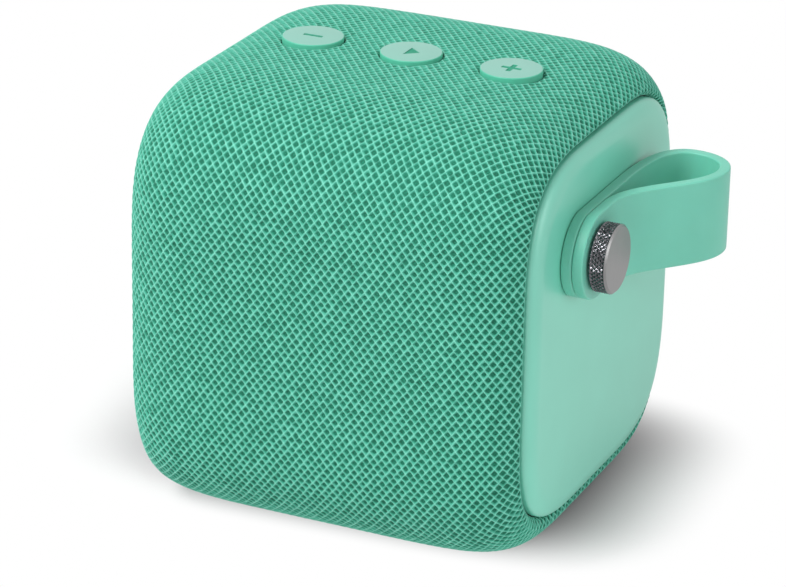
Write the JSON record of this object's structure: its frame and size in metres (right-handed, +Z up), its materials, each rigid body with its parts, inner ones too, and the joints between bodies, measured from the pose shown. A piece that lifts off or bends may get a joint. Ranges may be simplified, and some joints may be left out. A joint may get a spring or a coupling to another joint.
{
  "type": "portable bluetooth speaker",
  "caption": "Soft cube speaker wrapped in open knitted mesh, with side panels, top buttons, a silicone loop strap held by a knurled screw and ports under a flap.",
  "frame": {"origin": "middle of the foot's resting face, on the surface that the speaker stands on", "axes": "+Z up, the front grille faces -Y, the strap is on the +X side and the ports on the -X side"},
  "size_m": [0.1139, 0.096, 0.0987],
  "materials": {
    "fabric": "open knitted diamond mesh over a darker backing",
    "soft_touch": "matt soft-touch coat",
    "cap": "matt silicone",
    "silicone": "matt moulded silicone",
    "foot_rubber": "matt",
    "gunmetal": "knurled rim, satin face",
    "steel": "plated",
    "brass": "turned",
    "black_plastic": "moulded",
    "dark_plastic": "moulded",
    "white_plastic": "moulded",
    "clear_plastic": "polished acrylic",
    "grille_steel": "powder coated",
    "board": "solder mask",
    "chip": "moulded epoxy",
    "ferrite": "sintered",
    "can": "pressed",
    "cell_sleeve": "shrink sleeve",
    "paper_cone": "pressed pulp",
    "surround_rubber": "moulded",
    "spider_cloth": "resin-stiffened",
    "copper": "enamelled wire",
    "frame_steel": "pressed and coated",
    "tape": "foam tape",
    "wire_red": "insulation",
    "wire_black": "insulation",
    "ribbon": "polyimide film"
  },
  "bodies": {
    "root": {"fabric_sleeve": "fabric", "cabinet_body": "dark_plastic", "cabinet_back": "dark_plastic", "cabinet_seal": "tape", "cabinet_screws": "steel", "front_grille": "grille_steel", "rear_grille": "grille_steel", "right_panel": "soft_touch", "left_panel": "soft_touch", "panel_tapes": "tape", "strap_insert": "brass", "foot_ring": "foot_rubber", "button_membrane": "white_plastic", "tact_switches": "black_plastic", "button_board": "board", "board_screws": "steel", "main_board": "board", "bluetooth_module": "can", "amplifier_chip": "chip", "power_inductor": "ferrite", "capacitors": "can", "usb_port": "steel", "aux_jack": "black_plastic", "status_led": "white_plastic", "light_pipe": "clear_plastic", "battery_cell": "cell_sleeve", "battery_cradle": "black_plastic", "driver_frame": "frame_steel", "driver_magnet": "ferrite", "driver_yoke": "steel", "driver_plate": "steel", "driver_surround": "surround_rubber", "driver_spider": "spider_cloth", "speaker_gaskets": "tape", "speaker_screws": "steel", "radiator_frame": "frame_steel", "radiator_surround": "surround_rubber", "speaker_wires": "wire_red", "battery_wires": "wire_black", "button_ribbon": "ribbon"},
    "minus_press_body": {"minus_button": "cap", "minus_plunger": "black_plastic"},
    "play_press_body": {"play_button": "cap", "play_plunger": "black_plastic"},
    "plus_press_body": {"plus_button": "cap", "plus_plunger": "black_plastic"},
    "power_press_body": {"power_button": "soft_touch", "power_plunger": "black_plastic"},
    "pairing_press_body": {"pairing_button": "soft_touch", "pairing_plunger": "black_plastic"},
    "flap_body": {"port_flap": "silicone"},
    "strap_body": {"strap": "silicone"},
    "washer_body": {"screw_washer": "white_plastic"},
    "screw_body": {"strap_screw": "gunmetal"},
    "cone_body": {"driver_cone": "paper_cone", "dust_cap": "paper_cone", "voice_coil": "copper"},
    "radiator_body": {"radiator_plate": "paper_cone"}
  },
  "joints": [
    {"name": "minus_press", "type": "slide", "parent": "root", "child": "minus_press_body", "axis": [0, 0, -1], "range_m": [0, 0.0005], "stiffness_N_per_m": 600, "deforming": ["button_membrane"]},
    {"name": "play_press", "type": "slide", "parent": "root", "child": "play_press_body", "axis": [0, 0, -1], "range_m": [0, 0.0005], "stiffness_N_per_m": 600, "deforming": ["button_membrane"]},
    {"name": "plus_press", "type": "slide", "parent": "root", "child": "plus_press_body", "axis": [0, 0, -1], "range_m": [0, 0.0005], "stiffness_N_per_m": 600, "deforming": ["button_membrane"]},
    {"name": "power_press", "type": "slide", "parent": "root", "child": "power_press_body", "axis": [1, 0, 0], "range_m": [0, 0.0004], "stiffness_N_per_m": 600},
    {"name": "pairing_press", "type": "slide", "parent": "root", "child": "pairing_press_body", "axis": [1, 0, 0], "range_m": [0, 0.0004], "stiffness_N_per_m": 600},
    {"name": "port_flap_hinge", "type": "hinge", "parent": "root", "child": "flap_body", "pos_m": [-0.0461, 0, 0.01583], "axis": [0, -1, 0], "range_deg": [0, 95]},
    {"name": "strap_swivel", "type": "hinge", "parent": "root", "child": "strap_body", "pos_m": [0.0469, -0.0182, 0.0684], "axis": [1, 0, 0], "continuous": true},
    {"name": "screw_travel", "type": "slide", "parent": "root", "child": "washer_body", "axis": [1, 0, 0], "range_m": [0, 0.0056]},
    {"name": "screw_turn", "type": "hinge", "parent": "washer_body", "child": "screw_body", "pos_m": [0.05215, -0.0182, 0.0684], "axis": [1, 0, 0], "range_deg": [0, 2880]},
    {"name": "cone_stroke", "type": "slide", "parent": "root", "child": "cone_body", "axis": [0, -1, 0], "range_m": [-0.0015, 0.0015], "stiffness_N_per_m": 1200, "deforming": ["driver_surround", "driver_spider"]},
    {"name": "radiator_stroke", "type": "slide", "parent": "root", "child": "radiator_body", "axis": [0, 1, 0], "range_m": [-0.0025, 0.0025], "stiffness_N_per_m": 900, "deforming": ["radiator_surround"]}
  ],
  "couplings": [
    {"joint": "screw_travel", "follows": "screw_turn", "m_per_rad": 0.00011141}
  ]
}
